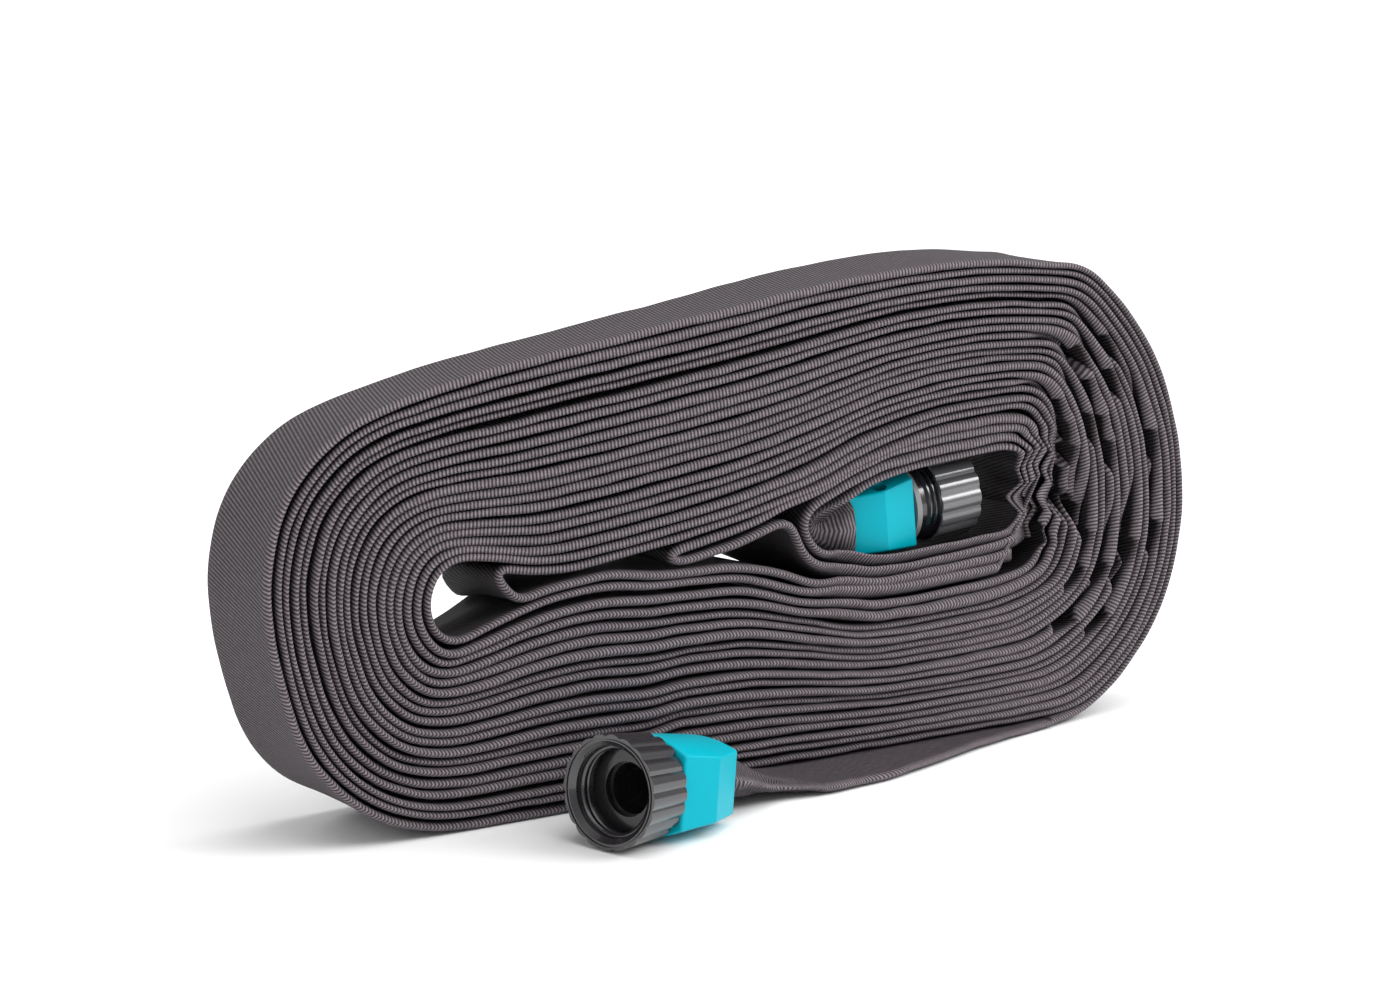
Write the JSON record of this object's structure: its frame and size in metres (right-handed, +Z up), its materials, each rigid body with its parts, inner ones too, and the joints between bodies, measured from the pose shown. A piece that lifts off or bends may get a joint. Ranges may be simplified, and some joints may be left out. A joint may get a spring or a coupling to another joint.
{
  "type": "rolled lay-flat garden hose",
  "caption": "Woven lay-flat water hose wound into an oval roll on its edge, with a swivel nut inlet on its tail and a capped threaded outlet in its core.",
  "frame": {"origin": "on the floor, at the middle of the whole part's box", "axes": "+Z up, +X along the roll towards the end that its core coupling points at, -Y towards the side where the inlet coupling lies"},
  "size_m": [0.3452, 0.0984, 0.1614],
  "materials": {
    "woven_jacket": "woven, satin",
    "liner_rubber": "matte",
    "nut_plastic": "gloss",
    "washer_rubber": "satin",
    "shell_plastic": "satin gloss",
    "screw_brass": "plain",
    "collar_plastic": "matte",
    "cap_plastic": "satin gloss"
  },
  "bodies": {
    "hose": {"hose_roll": "woven_jacket", "hose_tail": "woven_jacket", "hose_inlet_end": "woven_jacket", "hose_outlet_end": "woven_jacket", "liner_inlet_end": "liner_rubber", "liner_outlet_end": "liner_rubber", "inlet_tailpiece": "nut_plastic", "inlet_washer": "washer_rubber", "inlet_shell_upper": "shell_plastic", "inlet_shell_lower": "shell_plastic", "inlet_shell_screws": "screw_brass", "outlet_tailpiece": "nut_plastic", "outlet_collar": "collar_plastic", "outlet_shell_upper": "shell_plastic", "outlet_shell_lower": "shell_plastic", "outlet_shell_screws": "screw_brass"},
    "nut": {"swivel_nut": "nut_plastic"},
    "cap_seal": {"cap_washer": "washer_rubber"},
    "cap": {"end_cap": "cap_plastic"}
  },
  "joints": [
    {"name": "nut_swivel", "type": "hinge", "parent": "hose", "child": "nut", "pos_m": [-0.0746, -0.03, 0.01696], "axis": [0.9373, 0.3319, -0.1063], "continuous": true},
    {"name": "cap_lift", "type": "slide", "parent": "hose", "child": "cap_seal", "axis": [0.9954, 0, 0.0958], "range_m": [0, 0.00885]},
    {"name": "cap_turn", "type": "hinge", "parent": "cap_seal", "child": "cap", "pos_m": [0.08128, 0.02718, 0.08071], "axis": [0.9954, 0, 0.0958], "range_deg": [0, 1440]}
  ],
  "couplings": [
    {"joint": "cap_lift", "follows": "cap_turn", "m_per_rad": 0.00035152}
  ]
}
